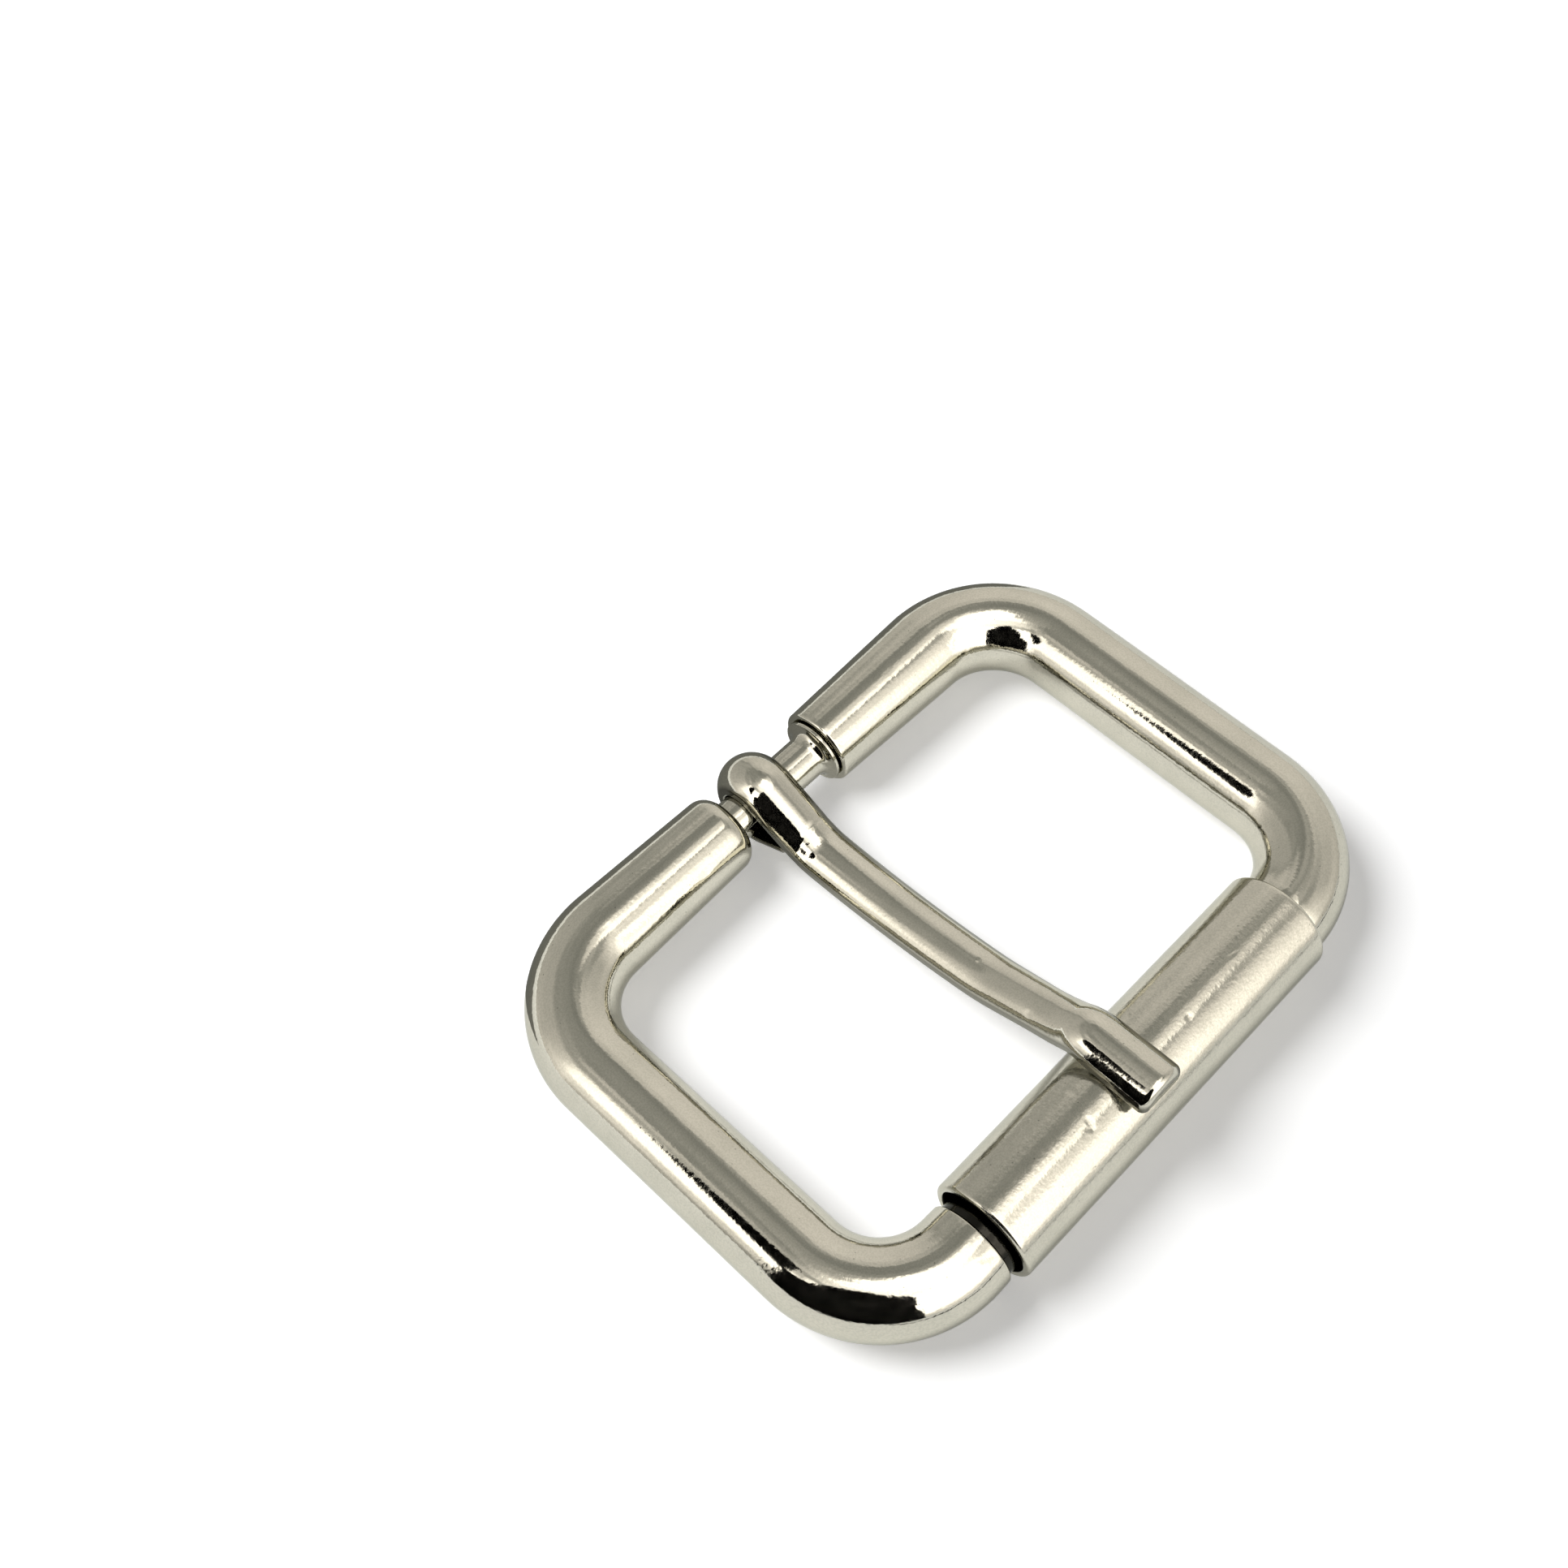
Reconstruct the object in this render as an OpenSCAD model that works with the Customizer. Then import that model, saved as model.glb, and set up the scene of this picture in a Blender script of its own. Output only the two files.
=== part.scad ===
// Heel-bar roller buckle: a bent round bar with a necked roller side, a thin hinge pin in the gap of the
// opposite side, a wrapped tongue and a loose roller. It lies as it rests by itself, on the roller and on
// the two corners beside the hinge. Millimetres, +X along the hinge, +Y towards the hinge, +Z up.

/* [Frame] */
// Width of the opening between the side bars, which the widest strap fills
belt_w = 40; // [30:1:60]
// Distance between the axis of the hinge and the axis of the roller
bar_span = 32.45; // [28:0.05:45]
// Thickness of the bar at its sides and corners
bar_d = 6.5; // [5.6:0.1:7.2]
// Thickness of the bar at its two ends beside the hinge gap
bar_end_d = 5.9; // [5.6:0.05:7.2]
// Radius of the bar's centre line in the two corners beside the hinge
hinge_corner_r = 7.15; // [5:0.05:9]
// Radius of the bar's centre line in the two corners beside the roller
roller_corner_r = 6.95; // [5:0.05:9]

/* [Hinge] */
// Clear width between the two ends of the bar
gap_w = 8.75; // [8.5:0.05:12]
// Distance of the gap's middle from the middle of the buckle
gap_offset = 0.225; // [-1:0.025:1.5]
// Rounding of the bar's left end
dome_r = 1.3; // [0.3:0.1:1.6]
// Rounding of the bar's right end
rim_r = 0.25; // [0.1:0.05:0.4]
// Thickness of the hinge pin
pin_d = 3.25; // [2.6:0.05:3.8]
// Depth of the pin's seat in each end of the bar
socket_depth = 4; // [2:0.5:6]
// Thickness of the collar at the pin's right end
collar_d = 5; // [4.6:0.1:5.5]
// Width of that collar along the pin
collar_w = 0.25; // [0.2:0.05:0.9]
// Width of the groove between the collar and the bar's right end
collar_gap = 0.15; // [0.05:0.05:0.5]
// Radius of the hollow flare from the collar to the pin
flare_r = 0.8; // [0.2:0.1:1]

/* [Tongue] */
// Width of the tongue at its eye
tongue_w = 4; // [3:0.1:4.6]
// Thickness of the strip from its flat face to its crown
tongue_t = 1.85; // [1.4:0.05:2.2]
// Height of the strip's upright side below the crown
flank_h = 0.65; // [0.5:0.05:1.1]
// Distance from the bar's left end to the tongue's eye
side_gap = 1.1; // [0.4:0.1:1.5]
// Play of the eye round the pin, on the radius
eye_play = 0.08; // [0.04:0.01:0.1]
// Inner radius of the eye's lower half, which stands off the pin
heel_r = 2.05; // [1.95:0.05:2.4]
// Thickness of the tail that closes the eye below
tail_t = 0.95; // [0.7:0.05:1.2]
// Angle at which the tail rises to the strip's underside
tail_angle = 31; // [20:1:36]
// Angle at which the strip comes down from the eye
entry_angle = 26.5; // [24:0.5:34]
// How far the strip's underside hangs below the middle of the bars
dip = 0.87; // [0.6:0.01:1.8]
// Angle that the long shallow sweep turns through
sweep_angle = 12; // [9:0.5:14]
// Angle at which the strip climbs to the roller
climb_angle = 21; // [18:0.5:24]
// Angle at which it arrives beside the roller
steep_angle = 34; // [28:1:38]
// Length of the level tip before the middle of the roller
tip_lead = 2.4; // [2:0.1:4]
// Length of the level tip past the middle of the roller
tip_reach = 3.1; // [2:0.05:4]

/* [Roller] */
// Outer thickness of the roller
roller_d = 7.75; // [7.4:0.05:9.5]
// Wall of the roller
roller_wall = 0.55; // [0.4:0.05:0.8]
// Rounding of the roller's outer rims
roller_rim_r = 0.3; // [0.1:0.05:0.35]
// Clearance between the roller and its neck, on the radius
neck_play = 0.4; // [0.2:0.05:0.6]
// Width of the left shoulder, from the corner to the neck
left_shoulder_w = 1.2; // [0.8:0.1:2]
// Width of the right shoulder, from the corner to the neck
right_shoulder_w = 0.4; // [0.4:0.1:2]
// Distance that the roller can slide along its neck
roller_float = 0.9; // [0.5:0.1:2]

/* [Hidden] */
$fn = 96;
nickel = "#d6d2c6";
bright_nickel = "#e0ddd2";

// Radial gap of the pressed-in pin, gap of the tip above the roller, and gap of the tail's end
seat_gap = 0.02;
rest_gap = 0.05;
tail_gap = 0.12;
// Distance that the roller stands off the right shoulder, and gap where the neck hangs in it
roller_stop_gap = 0.12;
neck_gap = 0.03;
// How far a thin piece runs into a thick one so that they join, and share of the bar's radius that has the
// core across a seam between a straight and a bend
joint_overlap = 1;
core_share = 0.8;
// Distance by which a cutter passes the face that it opens
cut_past = 1;

// Frame
bar_r = bar_d / 2;
bar_end_r = bar_end_d / 2;
side_x = belt_w / 2 + bar_r;
hinge_y = bar_span / 2;
roller_y = -bar_span / 2;
hinge_corner_x = side_x - hinge_corner_r;
roller_corner_x = side_x - roller_corner_r;
gap_left = gap_offset - gap_w / 2;
gap_right = gap_offset + gap_w / 2;

// Hinge pin and its seats
pin_r = pin_d / 2;
socket_r = pin_r + seat_gap;
collar_r = collar_d / 2;

// Roller and its neck
roller_r = roller_d / 2;
roller_bore_r = roller_r - roller_wall;
neck_r = roller_bore_r - neck_play;
shoulder_r = min(bar_r, roller_bore_r) - seat_gap;
shoulder_round_r = 0.2;
neck_left = -roller_corner_x + left_shoulder_w;
neck_right = roller_corner_x - right_shoulder_w;
roller_len = neck_right - neck_left - roller_float;
roller_right = neck_right - roller_stop_gap;
roller_left = roller_right - roller_len;
// The lying roller carries the frame, whose neck hangs at the bottom of the roller's bore
roller_lift = neck_play - neck_gap;

// The tongue's side view lies in a plane with u forwards from the pin's axis and v up.
// Its path is the strip's flat face, from the tail's tip round the eye and on to the tip.
eye_r = pin_r + eye_play;
// The wrap's facets lie inside the true bore, which is then cut out of them
wrap_r = pin_r + eye_play / 2;
tongue_x = gap_left + side_gap + tongue_w / 2;
crown_h = tongue_t - flank_h;
slope_u = wrap_r * sin(entry_angle);
slope_v = wrap_r * cos(entry_angle);
knee_r = 5;
lift_r = 14;
joggle_r = 1.6;
slope_len = (slope_v + dip - knee_r * (1 - cos(entry_angle))) / sin(entry_angle);
knee_u = slope_u + slope_len * cos(entry_angle) + knee_r * sin(entry_angle);
tip_v = roller_lift + roller_r + rest_gap;
// What is left, along and up, for the sweep and the straight climb gives the sweep's radius and the
// climb's length
lift_u = lift_r * (sin(steep_angle) - sin(sweep_angle));
lift_v = lift_r * (cos(sweep_angle) - cos(steep_angle));
joggle_u = joggle_r * sin(steep_angle);
joggle_v = joggle_r * (1 - cos(steep_angle));
left_u = bar_span - tip_lead - knee_u - lift_u - joggle_u;
left_v = tip_v + dip - lift_v - joggle_v;
sweep_rise = 1 - cos(sweep_angle);
path_det = sin(sweep_angle) * sin(climb_angle) - cos(climb_angle) * sweep_rise;
sweep_r = (left_u * sin(climb_angle) - left_v * cos(climb_angle)) / path_det;
climb_len = (left_v * sin(sweep_angle) - left_u * sweep_rise) / path_det;
// The tail leaves the eye's lower half and ends just short of the slope's underside
heel_u = heel_r - wrap_r + heel_r * sin(tail_angle);
heel_v = -heel_r * cos(tail_angle);
tail_meet_u = (slope_v + slope_u * tan(entry_angle) - heel_v + heel_u * tan(tail_angle))
    / (tan(entry_angle) + tan(tail_angle));
tail_len = (tail_meet_u - heel_u) / cos(tail_angle) - tail_gap / sin(entry_angle + tail_angle);
tail_tip = [heel_u + tail_len * cos(tail_angle), heel_v + tail_len * sin(tail_angle)];

// Rounding of the tip's end as a share of the thickness
tip_round = 0.3;
// One row for each run of the strip: its straight length, then the radius and angle of the bend after it
// (up is positive), then the width and thickness at its end as shares of the eye's
RUN = 0;
BEND_R = 1;
BEND_A = 2;
END_W = 3;
END_T = 4;
tail_share = tail_t / tongue_t;
heel_share = 1.2 * tail_share;
back_share = 0.97;
strip_rows = [
    [tail_len, 0, 0, 1, tail_share],
    [0, heel_r, -tail_angle, 1, heel_share],
    [0, heel_r, -90, 1, back_share],
    [0, wrap_r, -90 - entry_angle, 1, 1],
    [slope_len, knee_r, entry_angle, 0.98, 1],
    [0, sweep_r, sweep_angle, 0.93, 1],
    [0, lift_r, climb_angle - sweep_angle, 0.91, 1],
    [climb_len, 0, 0, 0.86, 1],
    [0, lift_r, steep_angle - climb_angle, 0.9, 1],
    [0, joggle_r, -steep_angle, 0.96, 1.03],
    [tip_lead + tip_reach - tip_round * tongue_t, 0, 0, 0.99, 1.06],
];
// Largest angle between two sections in a bend, segments across the crown and sections of the rounded tip
bend_step = 8;
crown_steps = 8;
tip_steps = 4;
// The bevel of the flat face's edges as a share of the thickness
edge_bevel = 0.06;

// Lying pose: the roller touches the surface, and so does what is lowest at the hinge, a corner or the eye
front_drop = roller_r - roller_lift;
rear_drop = max(bar_r, heel_r + heel_share * tongue_t);
rest_tilt = asin((front_drop - rear_drop) / bar_span);
rear_reach = max(wrap_r + back_share * tongue_t, bar_r);
lift_z = (front_drop + rear_drop) / 2;
shift_y = (roller_r - rear_reach) / 2;

// State of the strip at a section: [u, v, heading, width, thickness]
function mix(a, b, share) = a + (b - a) * share;
function advance(s, run) = [s[0] + run * cos(s[2]), s[1] + run * sin(s[2]), s[2], s[3], s[4]];
function turned(s, radius, angle) =
    let (turn_r = (angle < 0 ? -1 : 1) * radius)
    let (heading = s[2] + angle)
    let (u = s[0] + turn_r * (sin(heading) - sin(s[2])))
    let (v = s[1] - turn_r * (cos(heading) - cos(s[2])))
    [u, v, heading, s[3], s[4]];
function resized(s, start, row, share) = [
    s[0],
    s[1],
    s[2],
    mix(start[3], tongue_w * row[END_W], share),
    mix(start[4], tongue_t * row[END_T], share)
];
function row_length(row) = row[RUN] + row[BEND_R] * abs(row[BEND_A]) * PI / 180;
function row_sections(start, row) =
    let (bent = advance(start, row[RUN]))
    let (steps = max(1, ceil(abs(row[BEND_A]) / bend_step)))
    let (run_share = row[RUN] / row_length(row))
    concat(
        row[RUN] > 0 ? [resized(bent, start, row, run_share)] : [],
        row[BEND_A] == 0 ? [] : [
            for (i = [1 : steps])
                resized(turned(bent, row[BEND_R], row[BEND_A] * i / steps), start, row,
                    mix(run_share, 1, i / steps))
        ]
    );
function walk(start, i) =
    i == len(strip_rows) ? [] :
    let (sections = row_sections(start, strip_rows[i]))
    concat(sections, walk(sections[len(sections) - 1], i + 1));
function rounded_tip(s) = [
    for (i = [1 : tip_steps])
        let (angle = 90 * i / tip_steps, radius = tip_round * tongue_t)
        let (inset = radius * (1 - cos(angle)))
        let (on = advance(s, radius * sin(angle)))
        [on[0], on[1], on[2], s[3] - 2 * inset, s[4] - inset]
];
// Outline of the strip across its path, from its left lower edge over the crown
function section_outline(w, t) =
    let (bevel = edge_bevel * t, rise = t * crown_h / tongue_t)
    let (crown_r = (w * w / 4 + rise * rise) / (2 * rise))
    let (half_angle = asin(w / 2 / crown_r))
    concat(
        [[-w / 2 + bevel, 0], [-w / 2, bevel]],
        [
            for (i = [0 : crown_steps])
                let (angle = mix(-half_angle, half_angle, i / crown_steps))
                [crown_r * sin(angle), t - crown_r + crown_r * cos(angle)]
        ],
        [[w / 2, bevel], [w / 2 - bevel, 0]]
    );
function section_points(s) = [
    for (p = section_outline(s[3], s[4]))
        [s[0] - p[1] * sin(s[2]), p[0], s[1] + p[1] * cos(s[2])]
];

module lofted(sections) {
    ring = len(section_outline(tongue_w, tongue_t));
    last = len(sections) - 1;
    points = [for (s = sections) each section_points(s)];
    sides = [
        for (i = [0 : last - 1], j = [0 : ring - 1])
            let (k = (j + 1) % ring)
            [i * ring + j, (i + 1) * ring + j, (i + 1) * ring + k, i * ring + k]
    ];
    first_cap = [for (j = [0 : ring - 1]) j];
    last_cap = [for (j = [ring - 1 : -1 : 0]) last * ring + j];
    polyhedron(points = points, faces = concat([first_cap], sides, [last_cap]), convexity = 6);
}

module lying() {
    translate([0, shift_y, lift_z]) rotate([-rest_tilt, 0, 0]) children();
}

// Turns a profile with x as radius and y as length about an axis along +X
module turned_part() {
    rotate([90, 0, 90]) rotate_extrude() children();
}

// Stretch of the bar that tapers to a rounded end
module bar_end(length, start_r, end_r, round_r) {
    turned_part() {
        polygon([[0, 0], [start_r, 0], [end_r, length - round_r], [0, length - round_r]]);
        square([end_r - round_r, length]);
        intersection() {
            translate([end_r - round_r, length - round_r]) circle(r = round_r);
            translate([0, length - round_r]) square([end_r, round_r]);
        }
    }
}

module corner(x, y, centre_r, start) {
    translate([x, y, 0]) rotate([0, 0, start]) rotate_extrude(angle = 90)
        translate([centre_r, 0]) circle(r = bar_r);
}

module side_bar(x) {
    y0 = roller_y + roller_corner_r;
    translate([x, y0, 0]) rotate([-90, 0, 0]) cylinder(r = bar_r, h = hinge_y - hinge_corner_r - y0);
}

// Core that runs across the seam between a straight and a bend
module seam_core(x, y, turn) {
    translate([x, y, 0]) rotate([0, 90, turn]) translate([0, 0, -joint_overlap])
        cylinder(r = core_share * bar_r, h = 2 * joint_overlap);
}

module bent_bar() {
    for (side = [-1, 1]) {
        side_bar(side * side_x);
        seam_core(side * side_x, hinge_y - hinge_corner_r, 90);
        seam_core(side * side_x, roller_y + roller_corner_r, 90);
        seam_core(side * hinge_corner_x, hinge_y, 0);
    }
    corner(hinge_corner_x, hinge_y - hinge_corner_r, hinge_corner_r, 0);
    corner(-hinge_corner_x, hinge_y - hinge_corner_r, hinge_corner_r, 90);
    corner(-roller_corner_x, roller_y + roller_corner_r, roller_corner_r, 180);
    corner(roller_corner_x, roller_y + roller_corner_r, roller_corner_r, 270);
}

module hinge_ends() {
    translate([-hinge_corner_x, hinge_y, 0]) bar_end(gap_left + hinge_corner_x, bar_r, bar_end_r, dome_r);
    translate([hinge_corner_x, hinge_y, 0]) mirror([1, 0, 0])
        bar_end(hinge_corner_x - gap_right, bar_r, bar_end_r, rim_r);
}

module roller_neck() {
    translate([-roller_corner_x, roller_y, 0]) bar_end(left_shoulder_w, bar_r, shoulder_r, shoulder_round_r);
    translate([roller_corner_x, roller_y, 0]) mirror([1, 0, 0])
        bar_end(right_shoulder_w, bar_r, shoulder_r, shoulder_round_r);
    translate([neck_left - joint_overlap, roller_y, 0]) rotate([0, 90, 0])
        cylinder(r = neck_r, h = neck_right - neck_left + 2 * joint_overlap);
}

module pin_sockets() {
    translate([gap_left - socket_depth, hinge_y, 0]) rotate([0, 90, 0])
        cylinder(r = socket_r, h = socket_depth + cut_past);
    translate([gap_right - cut_past, hinge_y, 0]) rotate([0, 90, 0])
        cylinder(r = socket_r, h = socket_depth + cut_past);
}

module frame() {
    color(nickel) lying() difference() {
        union() {
            bent_bar();
            hinge_ends();
            roller_neck();
        }
        pin_sockets();
    }
}

module hinge_pin() {
    seat_inset = socket_depth - seat_gap;
    pin_len = gap_w + 2 * seat_inset;
    collar_end = gap_w + seat_inset - collar_gap;
    collar_start = collar_end - collar_w;
    hollow_r = min(flare_r, collar_r - pin_r);
    color(nickel) lying() translate([gap_left - seat_inset, hinge_y, 0]) turned_part() {
        square([pin_r, pin_len]);
        translate([0, collar_start]) square([collar_r, collar_w]);
        difference() {
            translate([pin_r, collar_start - hollow_r]) square([hollow_r, hollow_r]);
            translate([pin_r + hollow_r, collar_start - hollow_r]) circle(r = hollow_r);
        }
    }
}

module tongue() {
    start = [tail_tip[0], tail_tip[1], 180 + tail_angle, tongue_w, tail_t];
    flat_sections = concat([start], walk(start, 0));
    sections = concat(flat_sections, rounded_tip(flat_sections[len(flat_sections) - 1]));
    color(nickel) lying() translate([tongue_x, hinge_y, 0]) difference() {
        rotate([0, 0, -90]) lofted(sections);
        translate([-tongue_w, 0, 0]) rotate([0, 90, 0]) cylinder(r = eye_r, h = 2 * tongue_w);
    }
}

module roller() {
    color(bright_nickel) lying() translate([roller_left, roller_y, roller_lift]) turned_part() difference() {
        union() {
            square([roller_r - roller_rim_r, roller_len]);
            translate([0, roller_rim_r]) square([roller_r, roller_len - 2 * roller_rim_r]);
            for (rim = [roller_rim_r, roller_len - roller_rim_r])
                translate([roller_r - roller_rim_r, rim]) circle(r = roller_rim_r);
        }
        translate([0, -cut_past]) square([roller_bore_r, roller_len + 2 * cut_past]);
    }
}

frame();
hinge_pin();
tongue();
roller();
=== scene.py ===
"""Nickel-plated roller buckle, lying as it rests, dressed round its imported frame.

The bent bar, the hinge pin, the wrapped tongue and the loose roller are each built as a smooth skin of
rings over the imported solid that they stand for. They lie on a pale floor under two soft lamps, in a tent of
pale cloth with a few dark cards, which the metal reflects.
"""

import logging
import math
from dataclasses import dataclass
from enum import Enum
from typing import Callable, Sequence

import bpy
import bmesh
from mathutils import Matrix, Vector, noise


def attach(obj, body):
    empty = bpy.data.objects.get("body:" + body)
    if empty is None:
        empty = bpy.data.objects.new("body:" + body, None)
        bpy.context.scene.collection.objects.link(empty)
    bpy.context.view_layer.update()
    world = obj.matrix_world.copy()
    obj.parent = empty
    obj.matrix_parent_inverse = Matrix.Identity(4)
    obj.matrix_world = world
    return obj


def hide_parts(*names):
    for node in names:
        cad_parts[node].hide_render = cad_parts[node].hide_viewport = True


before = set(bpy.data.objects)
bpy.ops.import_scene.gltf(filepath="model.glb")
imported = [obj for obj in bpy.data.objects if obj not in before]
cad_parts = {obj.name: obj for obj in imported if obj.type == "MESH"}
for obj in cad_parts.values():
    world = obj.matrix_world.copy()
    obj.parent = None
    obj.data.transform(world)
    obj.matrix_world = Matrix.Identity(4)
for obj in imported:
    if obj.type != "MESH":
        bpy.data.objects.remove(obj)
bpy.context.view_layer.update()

LOG = logging.getLogger("buckle")
MM = 0.001
UP = Vector((0.0, 0.0, 1.0))
RIM_STEPS = 10
WHITE = 255.0

# Places of the colours among the sockets of a Mix node
MIX_FIRST, MIX_SECOND, MIX_RESULT = 6, 7, 2


class Body(Enum):
    """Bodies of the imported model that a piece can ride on."""

    FRAME = "frame"
    TONGUE = "tongue"
    ROLLER = "roller"


@dataclass(frozen=True)
class BuckleSizes:
    """Sizes that the buckle's pieces share, in millimetres."""

    strap_w: float = 40.0
    bar_span: float = 32.45
    bar_r: float = 3.25
    bar_end_r: float = 2.95
    gap_left: float = -4.15
    gap_right: float = 4.6
    pin_r: float = 1.625
    socket_depth: float = 4.0
    seat_gap: float = 0.02
    roller_r: float = 3.875
    roller_wall: float = 0.55
    roller_left: float = -14.32
    roller_right: float = 15.78
    neck_play: float = 0.4
    roller_lift: float = 0.37
    rear_reach: float = 3.46

    @property
    def side_x(self) -> float:
        """Distance of a side bar's axis from the middle."""
        return self.strap_w / 2 + self.bar_r

    @property
    def hinge_y(self) -> float:
        """Place of the hinge's axis, from midway between the hinge and the roller's bar."""
        return self.bar_span / 2

    @property
    def bore_r(self) -> float:
        """Inner radius of the roller."""
        return self.roller_r - self.roller_wall

    @property
    def neck_r(self) -> float:
        """Radius of the neck inside the roller."""
        return self.bore_r - self.neck_play

    @property
    def front_drop(self) -> float:
        """Height of the roller bar's axis above the table."""
        return self.roller_r - self.roller_lift

    def lying(self) -> Matrix:
        """Turn and shift from the buckle's own plane to where it lies, both in millimetres.

        Returns:
            The matrix that lays the buckle on the table.
        """
        tilt = math.asin((self.front_drop - self.bar_r) / self.bar_span)
        shift = Vector((0.0, (self.roller_r - self.rear_reach) / 2, (self.front_drop + self.bar_r) / 2))
        return Matrix.Translation(shift) @ Matrix.Rotation(-tilt, 4, "X")


@dataclass(frozen=True)
class Run:
    """A straight run and the bend after it; the bend's angle is in degrees, to the left where positive."""

    straight: float
    bend_r: float = 0.0
    bend_angle: float = 0.0

    @property
    def length(self) -> float:
        """Length of the straight and the bend together."""
        return self.straight + self.bend_r * abs(math.radians(self.bend_angle))


@dataclass(frozen=True)
class Course:
    """A flat path made of runs."""

    start: tuple[float, float]
    heading: float
    runs: tuple[Run, ...]

    @property
    def length(self) -> float:
        """Length of the whole path."""
        return sum(run.length for run in self.runs)

    def marks(self) -> list[float]:
        """Distances at which the runs end.

        Returns:
            The distances, in the order of the runs.
        """
        ends = []
        total = 0.0
        for run in self.runs:
            total += run.length
            ends.append(total)
        return ends

    def at(self, distance: float) -> tuple[Vector, float]:
        """Finds a point of the path.

        Args:
            distance: length along the path; past either end the path goes straight on.

        Returns:
            The point, and the heading there in radians.
        """
        point = Vector(self.start)
        heading = math.radians(self.heading)
        left = distance
        for number, run in enumerate(self.runs):
            last = number == len(self.runs) - 1 and run.bend_angle == 0
            ahead = left if last else min(left, run.straight)
            point = point + ahead * Vector((math.cos(heading), math.sin(heading)))
            left -= ahead
            if left <= 0 or last:
                return point, heading
            angle = math.radians(run.bend_angle)
            if angle:
                share = min(1.0, left / (run.bend_r * abs(angle)))
                side = math.copysign(run.bend_r, angle)
                turned = heading + share * angle
                point = point + side * Vector(
                    (math.sin(turned) - math.sin(heading), math.cos(heading) - math.cos(turned)))
                heading = turned
                left -= share * run.bend_r * abs(angle)
        return point + left * Vector((math.cos(heading), math.sin(heading))), heading


@dataclass(frozen=True)
class Dent:
    """A nick or crease pressed into a skin, in the buckle's own millimetres, or raised by a negative depth.

    It fades out from its centre, and ends after as many half lengths as its reach says.
    """

    centre: tuple[float, float, float]
    along: tuple[float, float, float]
    half_length: float
    half_width: float
    depth: float
    reach: float = 3.0

    def sink(self, point: Vector) -> float:
        """Depth of the dent at a point.

        Args:
            point: place in the buckle's own plane.

        Returns:
            The depth, 0 away from the dent.
        """
        offset = point - Vector(self.centre)
        if offset.length > self.reach * max(self.half_length, self.half_width):
            return 0.0
        axis = Vector(self.along).normalized()
        side = axis.cross(UP).normalized()
        far, aside = offset.dot(axis), offset.dot(side)
        return self.depth * math.exp(-((far / self.half_length) ** 2) - (aside / self.half_width) ** 2)


class Skin:
    """Rings of points joined into one closed mesh, with the grain's coordinates stored at each point."""

    def __init__(self, looped: bool = False) -> None:
        """Starts an empty skin; a looped one joins its last ring to its first.

        Args:
            looped: whether the skin closes on itself.
        """
        self.looped = looped
        self.rings: list[list[Vector]] = []
        self.grain: list[list[Vector]] = []

    def add(self, points: Sequence[Vector], grain: Sequence[Vector]) -> None:
        """Adds a ring and its grain coordinates."""
        self.rings.append(list(points))
        self.grain.append(list(grain))

    def sink(self, dents: Sequence[Dent], depth_at: Callable[[Vector], float] | None = None) -> None:
        """Presses dents into the skin, towards the middle of each ring.

        Args:
            dents: the nicks and creases.
            depth_at: gives a further depth for a grain point, for the metal's slight unevenness.
        """
        for ring, grain in zip(self.rings, self.grain):
            middle = sum(ring, Vector((0, 0, 0))) / len(ring)
            for number, point in enumerate(ring):
                depth = sum(dent.sink(point) for dent in dents)
                if depth_at is not None:
                    depth += depth_at(grain[number])
                inward = (middle - point).normalized()
                ring[number] = point + depth * inward

    def build(self, name: str, place: Matrix, sharp: float = 50.0) -> bpy.types.Object:
        """Makes the mesh object.

        Args:
            name: name of the piece.
            place: where the skin's millimetres lie in the frame.
            sharp: angle in degrees past which an edge stays sharp.

        Returns:
            The object, in metres.
        """
        count = len(self.rings[0])
        points = [place @ point * MM for ring in self.rings for point in ring]
        pairs = len(self.rings) if self.looped else len(self.rings) - 1
        faces = []
        for row in range(pairs):
            near = row * count
            far = (row + 1) % len(self.rings) * count
            for side in range(count):
                after = (side + 1) % count
                faces.append((near + side, near + after, far + after, far + side))
        if not self.looped:
            last = (len(self.rings) - 1) * count
            faces.append(tuple(range(count - 1, -1, -1)))
            faces.append(tuple(range(last, last + count)))
        mesh = bpy.data.meshes.new(name)
        mesh.from_pydata([tuple(point) for point in points], [], faces)
        grain = mesh.attributes.new("grain", "FLOAT_VECTOR", "POINT")
        flat = [value for ring in self.grain for point in ring for value in point]
        grain.data.foreach_set("vector", flat)
        work = bmesh.new()
        work.from_mesh(mesh)
        bmesh.ops.recalc_face_normals(work, faces=work.faces)
        work.to_mesh(mesh)
        work.free()
        mesh.polygons.foreach_set("use_smooth", [True] * len(mesh.polygons))
        mesh.set_sharp_from_angle(angle=math.radians(sharp))
        piece = bpy.data.objects.new(name, mesh)
        bpy.context.scene.collection.objects.link(piece)
        return piece


def spread(start: float, end: float, step: float) -> list[float]:
    """Splits a stretch evenly.

    Args:
        start: where the stretch begins.
        end: where it ends.
        step: largest distance between two values.

    Returns:
        The values, with both ends.
    """
    count = max(1, math.ceil(abs(end - start) / step))
    return [start + (end - start) * number / count for number in range(count + 1)]


def waviness(grain: Vector, depth: float, scale: float) -> float:
    """Slight unevenness left by rolling, bending and polishing, always into the metal."""
    return depth * (0.5 + 0.5 * noise.noise(grain * scale))


def circle_of(radius: float, count: int) -> list[tuple[float, float]]:
    """Points across and up on a circle."""
    angles = [2 * math.pi * number / count for number in range(count)]
    return [(radius * math.cos(angle), radius * math.sin(angle)) for angle in angles]


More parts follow.
